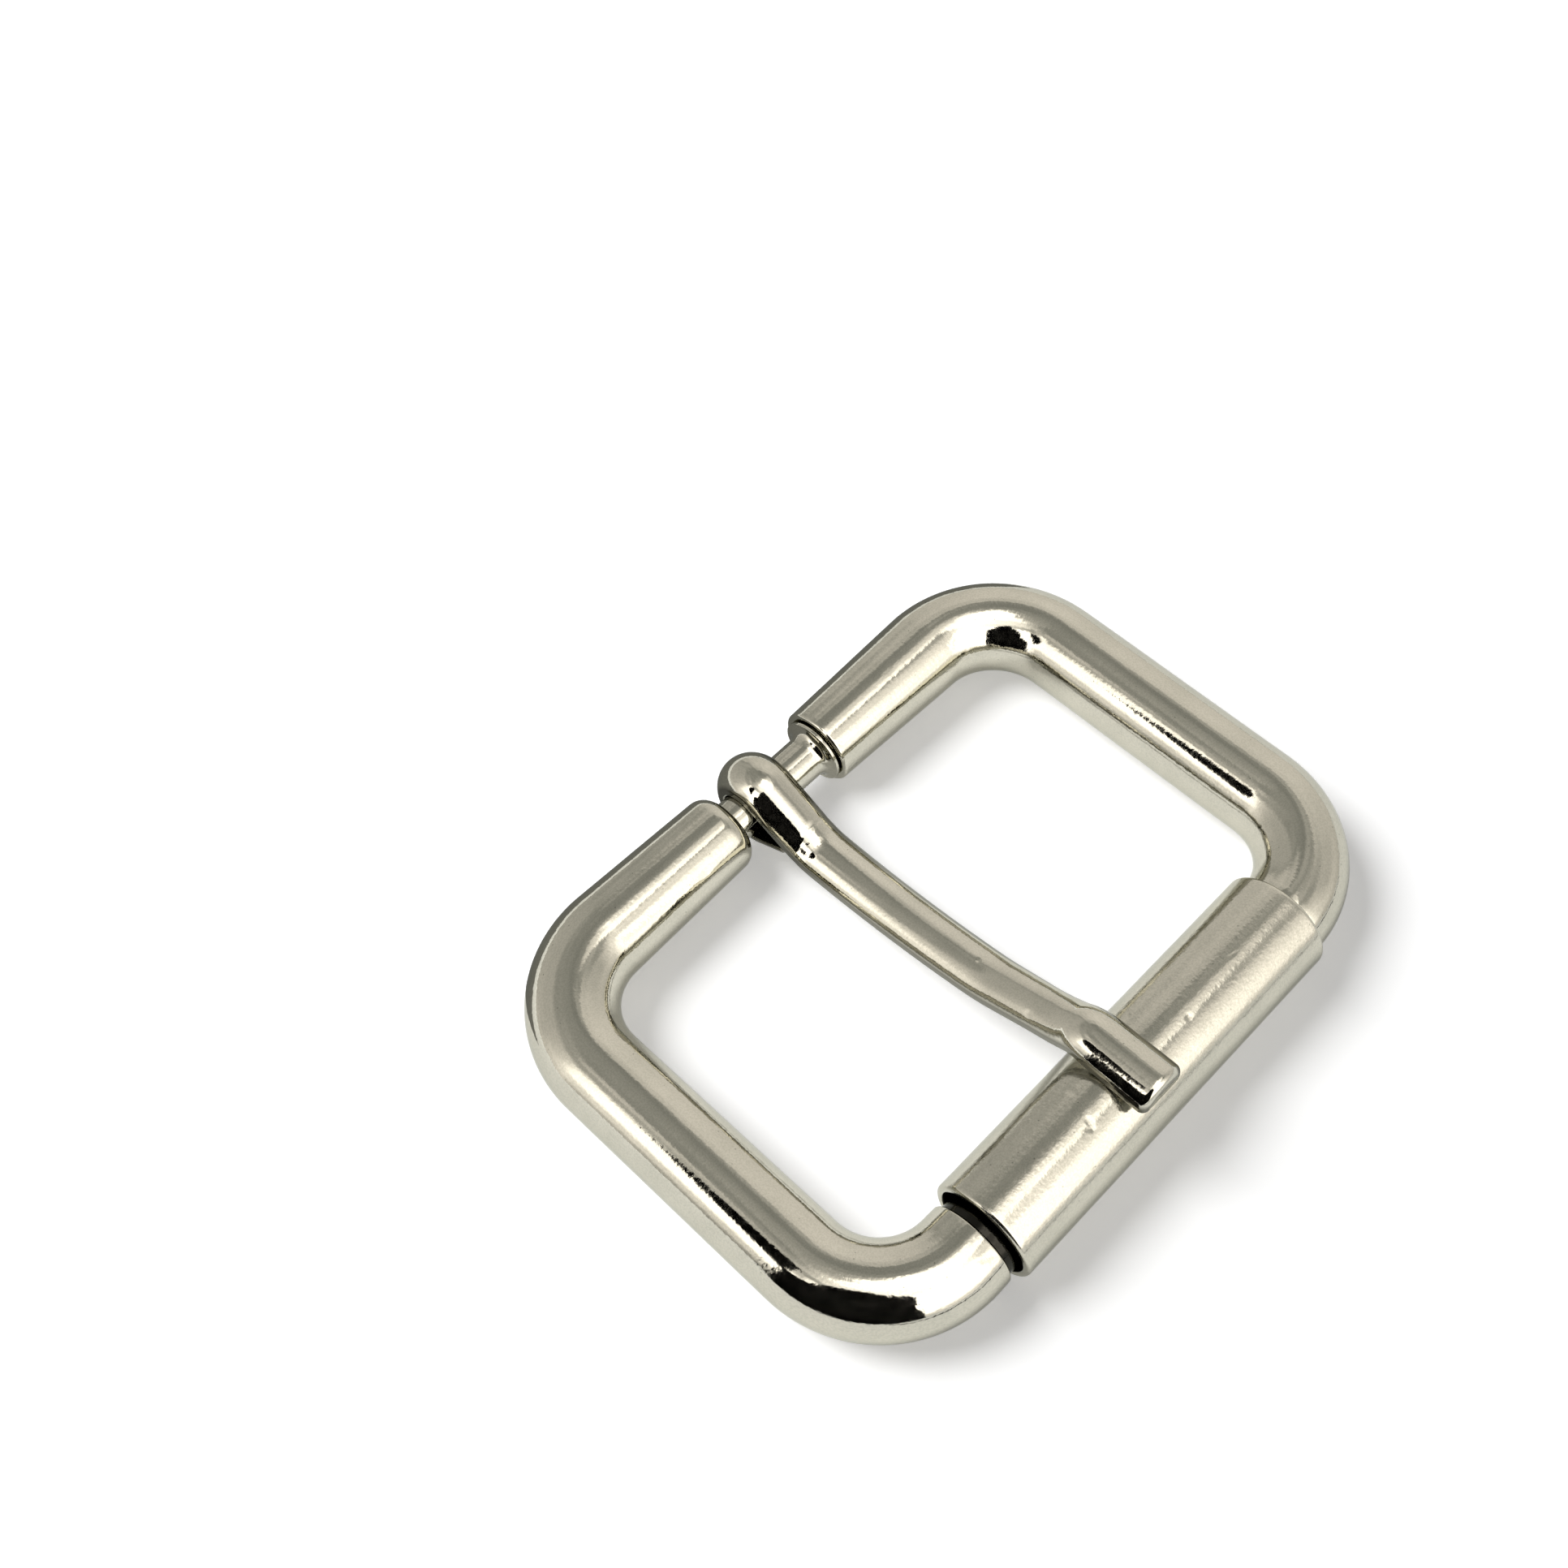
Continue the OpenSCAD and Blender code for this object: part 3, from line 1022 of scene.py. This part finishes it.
@dataclass
class WrappedTongue:
    """The tongue: a crowned strip wrapped round the pin, dipping and climbing on to the roller.

    Its path is flat: u runs forwards from the pin's axis, and v up from it.
    """

    sizes: BuckleSizes
    width: float = 4.0
    thickness: float = 1.85
    flank_h: float = 0.65
    side_gap: float = 1.1
    eye_play: float = 0.08
    heel_r: float = 2.05
    tail_t: float = 0.95
    tail_angle: float = 31.0
    entry_angle: float = 26.5
    dip: float = 0.87
    sweep_angle: float = 12.0
    climb_angle: float = 21.0
    steep_angle: float = 34.0
    tip_lead: float = 2.4
    tip_reach: float = 3.1
    knee_r: float = 5.0
    lift_r: float = 14.0
    joggle_r: float = 1.6
    rest_gap: float = 0.05
    tail_gap: float = 0.12
    tip_round: float = 0.3
    tail_round: float = 0.12
    edge_round: float = 0.3
    softness: float = 0.8
    soft_steps: int = 4
    crown_step: float = 0.05
    tip_steps: int = 10
    ring_points: int = 112
    points_between: int = 8
    step: float = 0.12
    dents: tuple[Dent, ...] = (
        Dent((-1.1, 11.3, 1.5), (1, 0.12, 0), 1.5, 0.2, 0.07),
        Dent((-1.1, 10.75, 1.2), (1, 0.12, 0), 1.5, 0.25, -0.015),
        Dent((-1.36, 16.7, 3.44), (-0.2, -0.97, 0), 0.5, 0.1, 0.05),
        Dent((-1.13, -4.18, 2.42), (1, 0, 0), 0.13, 0.13, 0.06),
        Dent((0.55, -2.6, 1.9), (0.3, 1, 0), 0.3, 0.1, 0.03),
        Dent((-2.32, -9.44, 3.73), (0.3, 1, 0), 0.25, 0.12, 0.04),
    )

    @property
    def wrap_r(self) -> float:
        """Radius of the strip's flat face round the pin."""
        return self.sizes.pin_r + self.eye_play / 2

    @property
    def centre_x(self) -> float:
        """Place of the tongue's middle along the hinge."""
        return self.sizes.gap_left + self.side_gap + self.width / 2

    def slope_start(self) -> tuple[float, float]:
        """Where the strip leaves the pin, forwards and up from the pin's axis."""
        entry = math.radians(self.entry_angle)
        return self.wrap_r * math.sin(entry), self.wrap_r * math.cos(entry)

    def slope_len(self) -> float:
        """Length of the straight slope that comes down from the eye.

        Returns:
            The length.
        """
        entry = math.radians(self.entry_angle)
        fall = self.slope_start()[1] + self.dip - self.knee_r * (1 - math.cos(entry))
        return fall / math.sin(entry)

    def sweep_and_climb(self) -> tuple[float, float]:
        """Solves what the other bends leave.

        Returns:
            Radius of the long sweep and length of the straight climb.
        """
        entry, sweep = math.radians(self.entry_angle), math.radians(self.sweep_angle)
        climb, steep = math.radians(self.climb_angle), math.radians(self.steep_angle)
        knee_end = (self.slope_start()[0] + self.slope_len() * math.cos(entry)
                    + self.knee_r * math.sin(entry))
        tip_v = self.sizes.roller_lift + self.sizes.roller_r + self.rest_gap
        left_u = (self.sizes.bar_span - self.tip_lead - knee_end
                  - self.lift_r * (math.sin(steep) - math.sin(sweep)) - self.joggle_r * math.sin(steep))
        left_v = (tip_v + self.dip - self.lift_r * (math.cos(sweep) - math.cos(steep))
                  - self.joggle_r * (1 - math.cos(steep)))
        rise = 1 - math.cos(sweep)
        common = math.sin(sweep) * math.sin(climb) - math.cos(climb) * rise
        radius = (left_u * math.sin(climb) - left_v * math.cos(climb)) / common
        length = (left_v * math.sin(sweep) - left_u * rise) / common
        return radius, length

    def tail(self) -> tuple[tuple[float, float], float]:
        """Finds the tail, which ends just short of the slope's underside.

        Returns:
            The tail's tip, and its straight length.
        """
        entry, angle = math.radians(self.entry_angle), math.radians(self.tail_angle)
        slope_u, slope_v = self.slope_start()
        heel_u = self.heel_r - self.wrap_r + self.heel_r * math.sin(angle)
        heel_v = -self.heel_r * math.cos(angle)
        meet = slope_v + slope_u * math.tan(entry) - heel_v + heel_u * math.tan(angle)
        meet /= math.tan(entry) + math.tan(angle)
        length = (meet - heel_u) / math.cos(angle) - self.tail_gap / math.sin(entry + angle)
        return (heel_u + length * math.cos(angle), heel_v + length * math.sin(angle)), length

    def rows(self) -> tuple[StripRow, ...]:
        """Runs of the strip from the tail's tip round the eye to the tongue's tip.

        Returns:
            The rows in order along the strip.
        """
        sweep_r, climb_len = self.sweep_and_climb()
        tail_share = self.tail_t / self.thickness
        tip_len = self.tip_lead + self.tip_reach - self.tip_round * self.thickness
        return (
            StripRow(Run(self.tail()[1]), 1, tail_share),
            StripRow(Run(0, self.heel_r, -self.tail_angle), 1, 1.2 * tail_share),
            StripRow(Run(0, self.heel_r, -90), 1, 0.97),
            StripRow(Run(0, self.wrap_r, -90 - self.entry_angle), 1, 1),
            StripRow(Run(self.slope_len(), self.knee_r, self.entry_angle), 0.98, 1),
            StripRow(Run(0, sweep_r, self.sweep_angle), 0.93, 1),
            StripRow(Run(0, self.lift_r, self.climb_angle - self.sweep_angle), 0.91, 1),
            StripRow(Run(climb_len), 0.86, 1),
            StripRow(Run(0, self.lift_r, self.steep_angle - self.climb_angle), 0.9, 1),
            StripRow(Run(0, self.joggle_r, -self.steep_angle), 0.96, 1.03),
            StripRow(Run(tip_len), 0.99, 1.06),
        )

    def size_at(self, distance: float, marks: Sequence[float],
                rows: Sequence[StripRow]) -> tuple[float, float]:
        """Width and thickness of the strip at a distance along it.

        Args:
            distance: length along the strip from the tail's tip.
            marks: distances at which the rows end.
            rows: the strip's rows.

        Returns:
            The width and the thickness.
        """
        start, width, thickness = 0.0, 1.0, self.tail_t / self.thickness
        for end, row in zip(marks, rows):
            if distance <= end or row is rows[-1]:
                share = min(1.0, max(0.0, (distance - start) / (end - start)))
                width += (row.width - width) * share
                thickness += (row.thickness - thickness) * share
                break
            start, width, thickness = end, row.width, row.thickness
        return width * self.width, thickness * self.thickness

    def soft_size_at(self, distance: float, marks: Sequence[float],
                     rows: Sequence[StripRow]) -> tuple[float, float]:
        """Width and thickness at a distance, averaged over a short stretch of the strip.

        Args:
            distance: length along the strip from the tail's tip.
            marks: distances at which the rows end.
            rows: the strip's rows.

        Returns:
            The width and the thickness.
        """
        nearby = [
            self.size_at(distance + offset * self.softness / self.soft_steps, marks, rows)
            for offset in range(-self.soft_steps, self.soft_steps + 1)
        ]
        return sum(size[0] for size in nearby) / len(nearby), sum(size[1] for size in nearby) / len(nearby)

    def stations(self, length: float) -> list[tuple[float, float]]:
        """Distances of the rings along the strip, each with how far its two ends are rounded in there.

        Args:
            length: length of the strip without the tip's rounding.

        Returns:
            Pairs of distance and how far the outline draws in.
        """
        along = spread(0, length, self.step)
        stations = [(distance, max(0.0, self.tail_round - distance)) for distance in along]
        tip_r = self.tip_round * self.thickness
        for number in range(1, self.tip_steps):
            angle = math.pi / 2 * number / self.tip_steps
            stations.append((length + tip_r * math.sin(angle), tip_r * (1 - math.cos(angle))))
        return stations

    def outline(self, width: float, thickness: float) -> list[Vector]:
        """Outline across the strip, evenly spaced and softly rounded.

        Args:
            width: width of the strip.
            thickness: height of its crown above the flat face.

        Returns:
            Points of x across and y above the flat face, from the middle of the flat face.
        """
        rise = thickness * (1 - self.flank_h / self.thickness)
        crown_r = (width * width / 4 + rise * rise) / (2 * rise)
        half = math.asin(width / 2 / crown_r)
        raw = [Vector((0, 0)), Vector((-width / 2, 0))]
        for angle in spread(-half, half, self.crown_step):
            raw.append(Vector((crown_r * math.sin(angle), thickness - crown_r + crown_r * math.cos(angle))))
        raw += [Vector((width / 2, 0)), Vector((0, 0))]
        fine = self.points_between * self.ring_points
        even = evenly_spaced(raw, fine)
        total = sum((b - a).length for a, b in zip(raw, raw[1:]))
        window = max(1, round(self.edge_round / total * fine / 2))
        soft = []
        for number in range(0, fine, self.points_between):
            near = [even[(number + offset) % fine] for offset in range(-window, window + 1)]
            soft.append(sum(near, Vector((0, 0))) / len(near))
        return soft

    def build(self) -> bpy.types.Object:
        """Builds the tongue.

        Returns:
            The tongue's object.
        """
        rows = self.rows()
        course = Course(self.tail()[0], 180 + self.tail_angle, tuple(row.run for row in rows))
        marks = course.marks()
        skin = Skin()
        for distance, inset in self.stations(course.length):
            width, thickness = self.soft_size_at(distance, marks, rows)
            point, heading = course.at(distance)
            up = Vector((-math.sin(heading), math.cos(heading)))
            ring = []
            grain = []
            for across in self.outline(width - 2 * inset, thickness - inset):
                flat = point + across.y * up
                ring.append(Vector((self.centre_x + across.x, self.sizes.hinge_y - flat.x, flat.y)))
                grain.append(Vector((distance, across.x, across.y)))
            skin.add(ring, grain)
        skin.sink(self.dents)
        piece = skin.build("wrapped_strip", self.sizes.lying(), sharp=60)
        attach(piece, Body.TONGUE.value)
        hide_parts("tongue")
        return piece

    def dress(self, piece: bpy.types.Object) -> None:
        """Plates the tongue."""
        piece.data.materials.append(TonguePlate("tongue_nickel").material())


@dataclass(frozen=True)
class PhotoCamera:
    """The photograph's camera, placed and turned in the buckle's own plane, in millimetres and degrees.

    It looks straight down where all its angles are 0. The tilt raises its look from there, the azimuth then
    turns it from +Y towards +X, and the roll turns the picture.
    """

    sizes: BuckleSizes
    place: tuple[float, float, float] = (-49.388, -39.086, 122.174)
    azimuth: float = 42.481
    tilt: float = 31.342
    roll: float = -3.821
    view_angle: float = 42.681
    sensor_w: float = 36.0
    nearest: float = 1.0
    farthest: float = 10000.0

    def build(self) -> bpy.types.Object:
        """Makes the camera.

        Returns:
            The camera's object.
        """
        data = bpy.data.cameras.new("camera")
        data.sensor_fit = "HORIZONTAL"
        data.sensor_width = self.sensor_w
        data.lens = self.sensor_w / 2 / math.tan(math.radians(self.view_angle / 2))
        data.clip_start = self.nearest * MM
        data.clip_end = self.farthest * MM
        camera = bpy.data.objects.new("camera", data)
        bpy.context.scene.collection.objects.link(camera)
        lying = self.sizes.lying()
        turn = lying.to_3x3().to_4x4()
        for angle, axis in ((-self.azimuth, "Z"), (self.tilt, "X"), (self.roll, "Z")):
            turn = turn @ Matrix.Rotation(math.radians(angle), 4, axis)
        camera.matrix_world = Matrix.Translation(lying @ Vector(self.place) * MM) @ turn
        bpy.context.scene.camera = camera
        return camera


@dataclass(frozen=True)
class TentBand:
    """One level of the light tent: grey levels of 0 to 255, as they show on the metal, by direction.

    Directions run from the front, -Y, by way of -X, +Y and +X back to the front. The top is the elevation
    at which the band ends, and the fade is how far it blends into the next one there, all in degrees.
    """

    top: float
    fade: float
    stops: tuple[tuple[float, float], ...]


def linear(grey: float) -> float:
    """Turns a grey level of 0 to 255 on a screen into linear light."""
    share = grey / WHITE
    return share / 12.92 if share <= 0.04045 else ((share + 0.055) / 1.055) ** 2.4


@dataclass(frozen=True)
class LightTent:
    """The tent of pale cloth that the bright metal reflects.

    The share of light that the metal reflects is taken out of the bands' grey levels. Levels above the
    lamps' grey are brighter than a picture can show.
    """

    metal: float = 0.53
    lamp_gain: float = 1.5
    lamp_grey: float = 240.0
    warm: tuple[float, float, float] = (1.05, 1.0, 0.96)
    green: tuple[float, float, float] = (1.0, 1.0, 0.95)
    warm_from: float = 120.0
    warm_to: float = 185.0
    bands: tuple[TentBand, ...] = (
        TentBand(7, 8, (
            (0, 220), (94, 200), (104, 140), (118, 210), (130, 190), (160, 165), (200, 150), (204, 170),
            (215, 185), (260, 190), (290, 170), (324, 175), (341, 215), (360, 220),
        )),
        TentBand(20, 10, (
            (0, 255), (92, 255), (104, 205), (118, 230), (128, 205), (142, 170), (170, 160), (196, 150),
            (199, 130), (203, 170), (230, 190), (262, 190), (285, 175), (305, 180), (324, 205), (340, 250),
            (360, 255),
        )),
        TentBand(44, 8, (
            (0, 255), (98, 255), (116, 250), (126, 205), (137, 175), (152, 160), (198, 150), (203, 140),
            (208, 170), (222, 185), (240, 195), (262, 190), (285, 170), (305, 165), (318, 195), (330, 240),
            (339, 255), (341, 220), (343, 255), (360, 255),
        )),
        TentBand(54, 4, (
            (0, 255), (92, 255), (97, 180), (108, 205), (115, 250), (120, 160), (135, 150), (180, 130),
            (197, 140), (205, 125), (214, 160), (236, 180), (246, 190), (262, 180), (284, 155), (300, 140),
            (311, 150), (321, 205), (327, 230), (334, 220), (339, 255), (360, 255),
        )),
        TentBand(61, 3, (
            (0, 255), (98, 150), (110, 180), (118, 160), (128, 185), (142, 150), (180, 135), (230, 120),
            (240, 150), (248, 150), (258, 135), (296, 165), (306, 150), (315, 160), (320, 205), (328, 230),
            (340, 250), (360, 255),
        )),
        TentBand(72, 4, (
            (0, 255), (88, 240), (99, 205), (122, 150), (135, 130), (165, 135), (210, 130), (228, 120),
            (258, 135), (273, 200), (288, 215), (306, 250), (360, 255),
        )),
        TentBand(80, 5, (
            (0, 255), (94, 250), (104, 215), (130, 160), (170, 145), (220, 135), (246, 135), (270, 200),
            (284, 250), (360, 255),
        )),
        TentBand(86, 5, (
            (0, 255), (84, 255), (108, 200), (130, 170), (180, 155), (212, 165), (232, 210), (246, 255),
            (360, 255),
        )),
    )

    def light(self, grey: float) -> tuple[float, float, float, float]:
        """Colour of the cloth that shows as a grey level on the metal, greener where it is darker.

        Args:
            grey: grey level of 0 to 255 on the metal.

        Returns:
            Red, green, blue and 1.
        """
        level = linear(grey) / self.metal
        if grey > self.lamp_grey:
            level *= 1 + (self.lamp_gain - 1) * (grey - self.lamp_grey) / (WHITE - self.lamp_grey)
        share = min(1.0, max(0.0, (grey - self.warm_from) / (self.warm_to - self.warm_from)))
        tone = [green + (warm - green) * share for green, warm in zip(self.green, self.warm)]
        return level * tone[0], level * tone[1], level * tone[2], 1.0

    def ramp(self, sheet: NodeSheet, around: bpy.types.NodeSocket, band: TentBand) -> bpy.types.NodeSocket:
        """Makes the colour ramp of one band.

        Args:
            sheet: the world's nodes.
            around: direction from 0 to 1 round the tent.
            band: the band's grey levels.

        Returns:
            The ramp's colour.
        """
        node = sheet.nodes.new("ShaderNodeValToRGB")
        stops = node.color_ramp.elements
        stops[0].position, stops[0].color = 0.0, self.light(band.stops[0][1])
        stops[1].position, stops[1].color = 1.0, self.light(band.stops[-1][1])
        for degrees, grey in band.stops[1:-1]:
            stops.new(degrees / 360).color = self.light(grey)
        sheet.join(around, node.inputs["Fac"])
        return node.outputs["Color"]

    def build(self) -> bpy.types.World:
        """Makes the world's light, which only the metal's reflections see.

        Returns:
            The world.
        """
        world = bpy.data.worlds.new("light_tent")
        bpy.context.scene.world = world
        world.use_nodes = True
        sheet = NodeSheet(world.node_tree)
        coords = sheet.nodes.new("ShaderNodeTexCoord")
        x, y, z = (sheet.part(coords.outputs["Generated"], axis) for axis in "XYZ")
        turn = sheet.sums("ARCTAN2", x, y)
        around = sheet.ranged(turn, -math.pi, math.pi)
        colour: object = self.light(WHITE)
        for band in reversed(self.bands):
            low = math.sin(math.radians(band.top - band.fade / 2))
            high = math.sin(math.radians(band.top + band.fade / 2))
            above = sheet.ranged(z, low, high, smooth=True)
            colour = sheet.blend(above, self.ramp(sheet, around, band), colour)
        sheet.feed(colour, sheet.nodes["Background"].inputs["Color"])
        world.cycles_visibility.diffuse = False
        return world


def glowing_sheet(name: str, corners: Sequence[Sequence[float]], grey: float,
                  glow: Sequence[float]) -> bpy.types.Object:
    """Makes a flat matt sheet of the stage.

    Args:
        name: name of the sheet.
        corners: its corners in millimetres.
        grey: how pale its cloth is, from 0 to 1.
        glow: light that it gives off by itself, as red, green and blue.

    Returns:
        The sheet's object.
    """
    mesh = bpy.data.meshes.new(name)
    mesh.from_pydata([tuple(Vector(corner) * MM) for corner in corners], [], [tuple(range(len(corners)))])
    sheet = bpy.data.objects.new(name, mesh)
    bpy.context.scene.collection.objects.link(sheet)
    material = bpy.data.materials.new(f"{name}_cloth")
    material.use_nodes = True
    cloth = {
        "Base Color": (grey, grey, grey, 1.0),
        "Roughness": 1.0,
        "Specular IOR Level": 0.0,
        "Emission Color": (*glow, 1.0),
        "Emission Strength": 1.0,
    }
    for socket, value in cloth.items():
        material.node_tree.nodes["Principled BSDF"].inputs[socket].default_value = value
    mesh.materials.append(material)
    return sheet


@dataclass(frozen=True)
class DarkCard:
    """A dark card near the buckle, which only the metal's reflections see.

    Its corners are in millimetres. Its glow is the little light that it gives off by itself, in its tone.
    """

    name: str
    corners: tuple[tuple[float, float, float], ...]
    glow: float = 0.0
    tone: tuple[float, float, float] = (1.0, 1.0, 0.95)

    def build(self) -> bpy.types.Object:
        """Makes the card.

        Returns:
            The card's object.
        """
        card = glowing_sheet(self.name, self.corners, 0.0, [self.glow * part for part in self.tone])
        for sight in ("visible_camera", "visible_diffuse", "visible_shadow"):
            setattr(card, sight, False)
        return card


@dataclass(frozen=True)
class SoftLamp:
    """A round lamp that lights the floor and casts soft shadows, and is not reflected.

    Its angles are in degrees, its distance and size in metres and its power in watts.
    """

    name: str
    azimuth: float
    elevation: float
    distance: float
    size: float
    power: float

    def build(self) -> bpy.types.Object:
        """Makes the lamp.

        Returns:
            The lamp's object.
        """
        data = bpy.data.lights.new(self.name, "AREA")
        data.shape = "DISK"
        data.size = self.size
        data.energy = self.power
        lamp = bpy.data.objects.new(self.name, data)
        bpy.context.scene.collection.objects.link(lamp)
        turn, rise = math.radians(self.azimuth), math.radians(self.elevation)
        aim = Vector((math.sin(turn) * math.cos(rise), math.cos(turn) * math.cos(rise), math.sin(rise)))
        lamp.location = aim * self.distance
        lamp.rotation_mode = "QUATERNION"
        lamp.rotation_quaternion = aim.to_track_quat("Z", "Y")
        lamp.visible_glossy = False
        return lamp


@dataclass(frozen=True)
class Studio:
    """Pale floor, light tent, dark cards and soft lamps."""

    floor_half: float = 3000.0
    floor_grey: float = 0.86
    floor_glow: float = 0.34
    cards: tuple[DarkCard, ...] = (
        DarkCard("tall_card", (
            (-97, -193, 1), (-96, 9, 1), (-96, 10, 62), (-96, 3, 72), (-96, -8, 80), (-96, -22, 150),
            (-97, -60, 238), (-97, -193, 240),
        )),
        DarkCard("far_card", (
            (-142, 48, 218), (-158, 73, 200), (-174, 79, 171), (-201, 70, 160), (-229, 41, 139),
            (-150, 25, 222),
        )),
        # Painted shade: seen only in the metal's reflections, this card stands for a dark object lying behind
        # the hinge, and its low near edge, tucked under the hinge bar, for the floor's contact shadow there
        DarkCard("back_card_and_shade", (
            (-38, 27, 0.2), (-22, 19.3, 0.15), (34, 19.3, 0.15), (42, 29, 2.6), (34, 30, 4), (-20, 30, 4),
        ), 0.26),
        DarkCard("front_card", ((-60, -58, 0), (80, -58, 0), (80, -58, 1.3), (-60, -58, 1.3))),
    )
    lamps: tuple[SoftLamp, ...] = (
        SoftLamp("side_lamp", -32.0, 50.0, 1.0, 0.65, 11.4),
        SoftLamp("top_lamp", 0.0, 88.0, 1.2, 2.4, 3.6),
    )

    def floor(self) -> bpy.types.Object:
        """Makes the floor that the buckle lies on, which glows a little, as a light table does.

        Returns:
            The floor's object.
        """
        half = self.floor_half
        corners = ((-half, -half, 0), (half, -half, 0), (half, half, 0), (-half, half, 0))
        return glowing_sheet("floor", corners, self.floor_grey, (self.floor_glow,) * 3)

    def build(self) -> None:
        """Makes the floor, the cards and the lights."""
        self.floor()
        LightTent().build()
        for thing in self.cards + self.lamps:
            thing.build()
        bpy.context.scene.view_settings.view_transform = "Standard"


def main() -> None:
    """Builds the buckle's pieces, the studio and the camera in order."""
    logging.basicConfig(level=logging.INFO, format="%(message)s")
    sizes = BuckleSizes()
    PhotoCamera(sizes).build()
    for maker in (BentBar(sizes), HingePin(sizes), WrappedTongue(sizes), LooseRoller(sizes)):
        piece = maker.build()
        maker.dress(piece)
        LOG.info("%s: %d faces", piece.name, len(piece.data.polygons))
    Studio().build()


if __name__ == "__main__":
    main()
